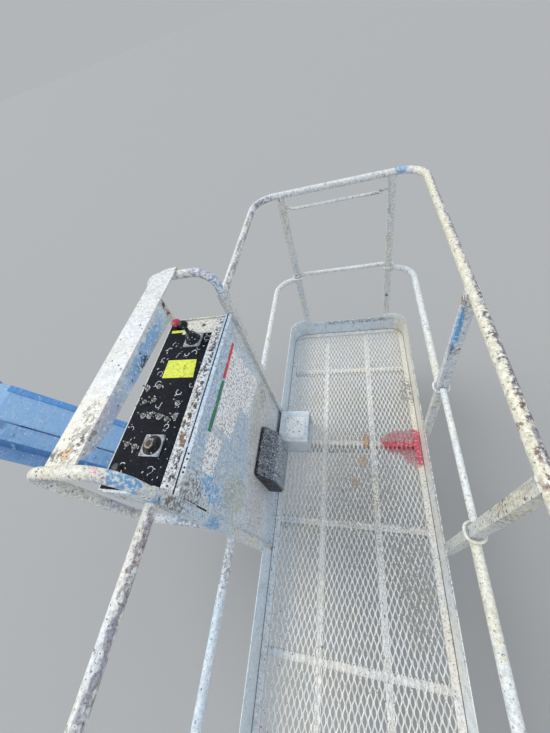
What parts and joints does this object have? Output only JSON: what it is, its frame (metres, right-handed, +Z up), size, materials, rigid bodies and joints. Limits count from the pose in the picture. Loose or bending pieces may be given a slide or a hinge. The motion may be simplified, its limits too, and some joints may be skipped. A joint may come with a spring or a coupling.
{
  "type": "boom lift work platform with jib arm",
  "caption": "Railed mesh-floor work platform with control console, sliding entry bars, rotator, levelling head and the jib arm that carries it.",
  "frame": {"origin": "centre of the pin bore at the arm's upper end, on the middle plane", "axes": "+Z up with the platform level, +Y along the platform, +X from the boom towards the platform"},
  "size_m": [2.2399, 2.484, 1.4798],
  "materials": {
    "white_paint": "off-white gloss paint with splatter and grime",
    "mesh_paint": "off-white paint worn to steel on the strands",
    "blue_paint": "blue gloss paint",
    "dark_paint": "satin dark grey paint",
    "plated_steel": "zinc-plated, slightly worn",
    "black_panel": "black, speckled with dry paint",
    "black_rubber": "black rubber",
    "black_plastic": "moulded black, speckled with dry paint",
    "red_plastic": "red moulded plastic",
    "grey_box": "pale grey paint"
  },
  "bodies": {
    "arm": {"arm": "blue_paint", "cylinder_lugs": "blue_paint", "hose_tray": "blue_paint"},
    "link": {"levelling_link": "blue_paint"},
    "head": {"levelling_head": "blue_paint", "head_pins": "plated_steel", "rotator_shaft": "plated_steel"},
    "platform": {"rotator_housing": "dark_paint", "platform_support": "white_paint", "floor_frame": "white_paint", "cross_bars": "white_paint", "long_bars": "white_paint", "floor_mesh": "mesh_paint", "toe_board": "white_paint", "end_posts": "white_paint", "side_posts": "white_paint", "console_posts": "white_paint", "top_rail": "white_paint", "mid_rails": "white_paint", "grab_bars": "white_paint", "guard_tubes": "white_paint", "guard_bar": "white_paint", "console_box": "white_paint", "console_brackets": "white_paint", "control_panel": "black_panel", "joysticks": "black_rubber", "stop_button": "red_plastic", "switches": "plated_steel", "front_cover": "white_paint", "kick_plate": "white_paint", "document_holder": "black_plastic", "foot_switch": "grey_box"},
    "far_bar": {"slide_bar_far": "white_paint"},
    "near_bar": {"slide_bar_near": "white_paint"},
    "side_bar": {"slide_bar_side": "white_paint"}
  },
  "joints": [
    {"name": "level", "type": "hinge", "parent": "arm", "child": "head", "pos_m": [0.82603, 0, -0.87045], "axis": [0, -1, 0], "range_deg": [-111, 14]},
    {"name": "link_swing", "type": "hinge", "parent": "head", "child": "link", "pos_m": [0.82603, 0, -1.12045], "axis": [0, -1, 0], "range_deg": [-14, 111]},
    {"name": "rotate", "type": "hinge", "parent": "head", "child": "platform", "pos_m": [1.03602, 0, -1.00045], "axis": [0, 0, 1], "range_deg": [-80, 80]},
    {"name": "far_bar_lift", "type": "slide", "parent": "platform", "child": "far_bar", "axis": [0, 0, 1], "range_m": [0, 0.4]},
    {"name": "near_bar_lift", "type": "slide", "parent": "platform", "child": "near_bar", "axis": [0, 0, 1], "range_m": [0, 0.4]},
    {"name": "side_bar_lift", "type": "slide", "parent": "platform", "child": "side_bar", "axis": [0, 0, 1], "range_m": [0, 0.4]}
  ],
  "couplings": [
    {"joint": "link_swing", "follows": "level", "ratio": -1}
  ]
}
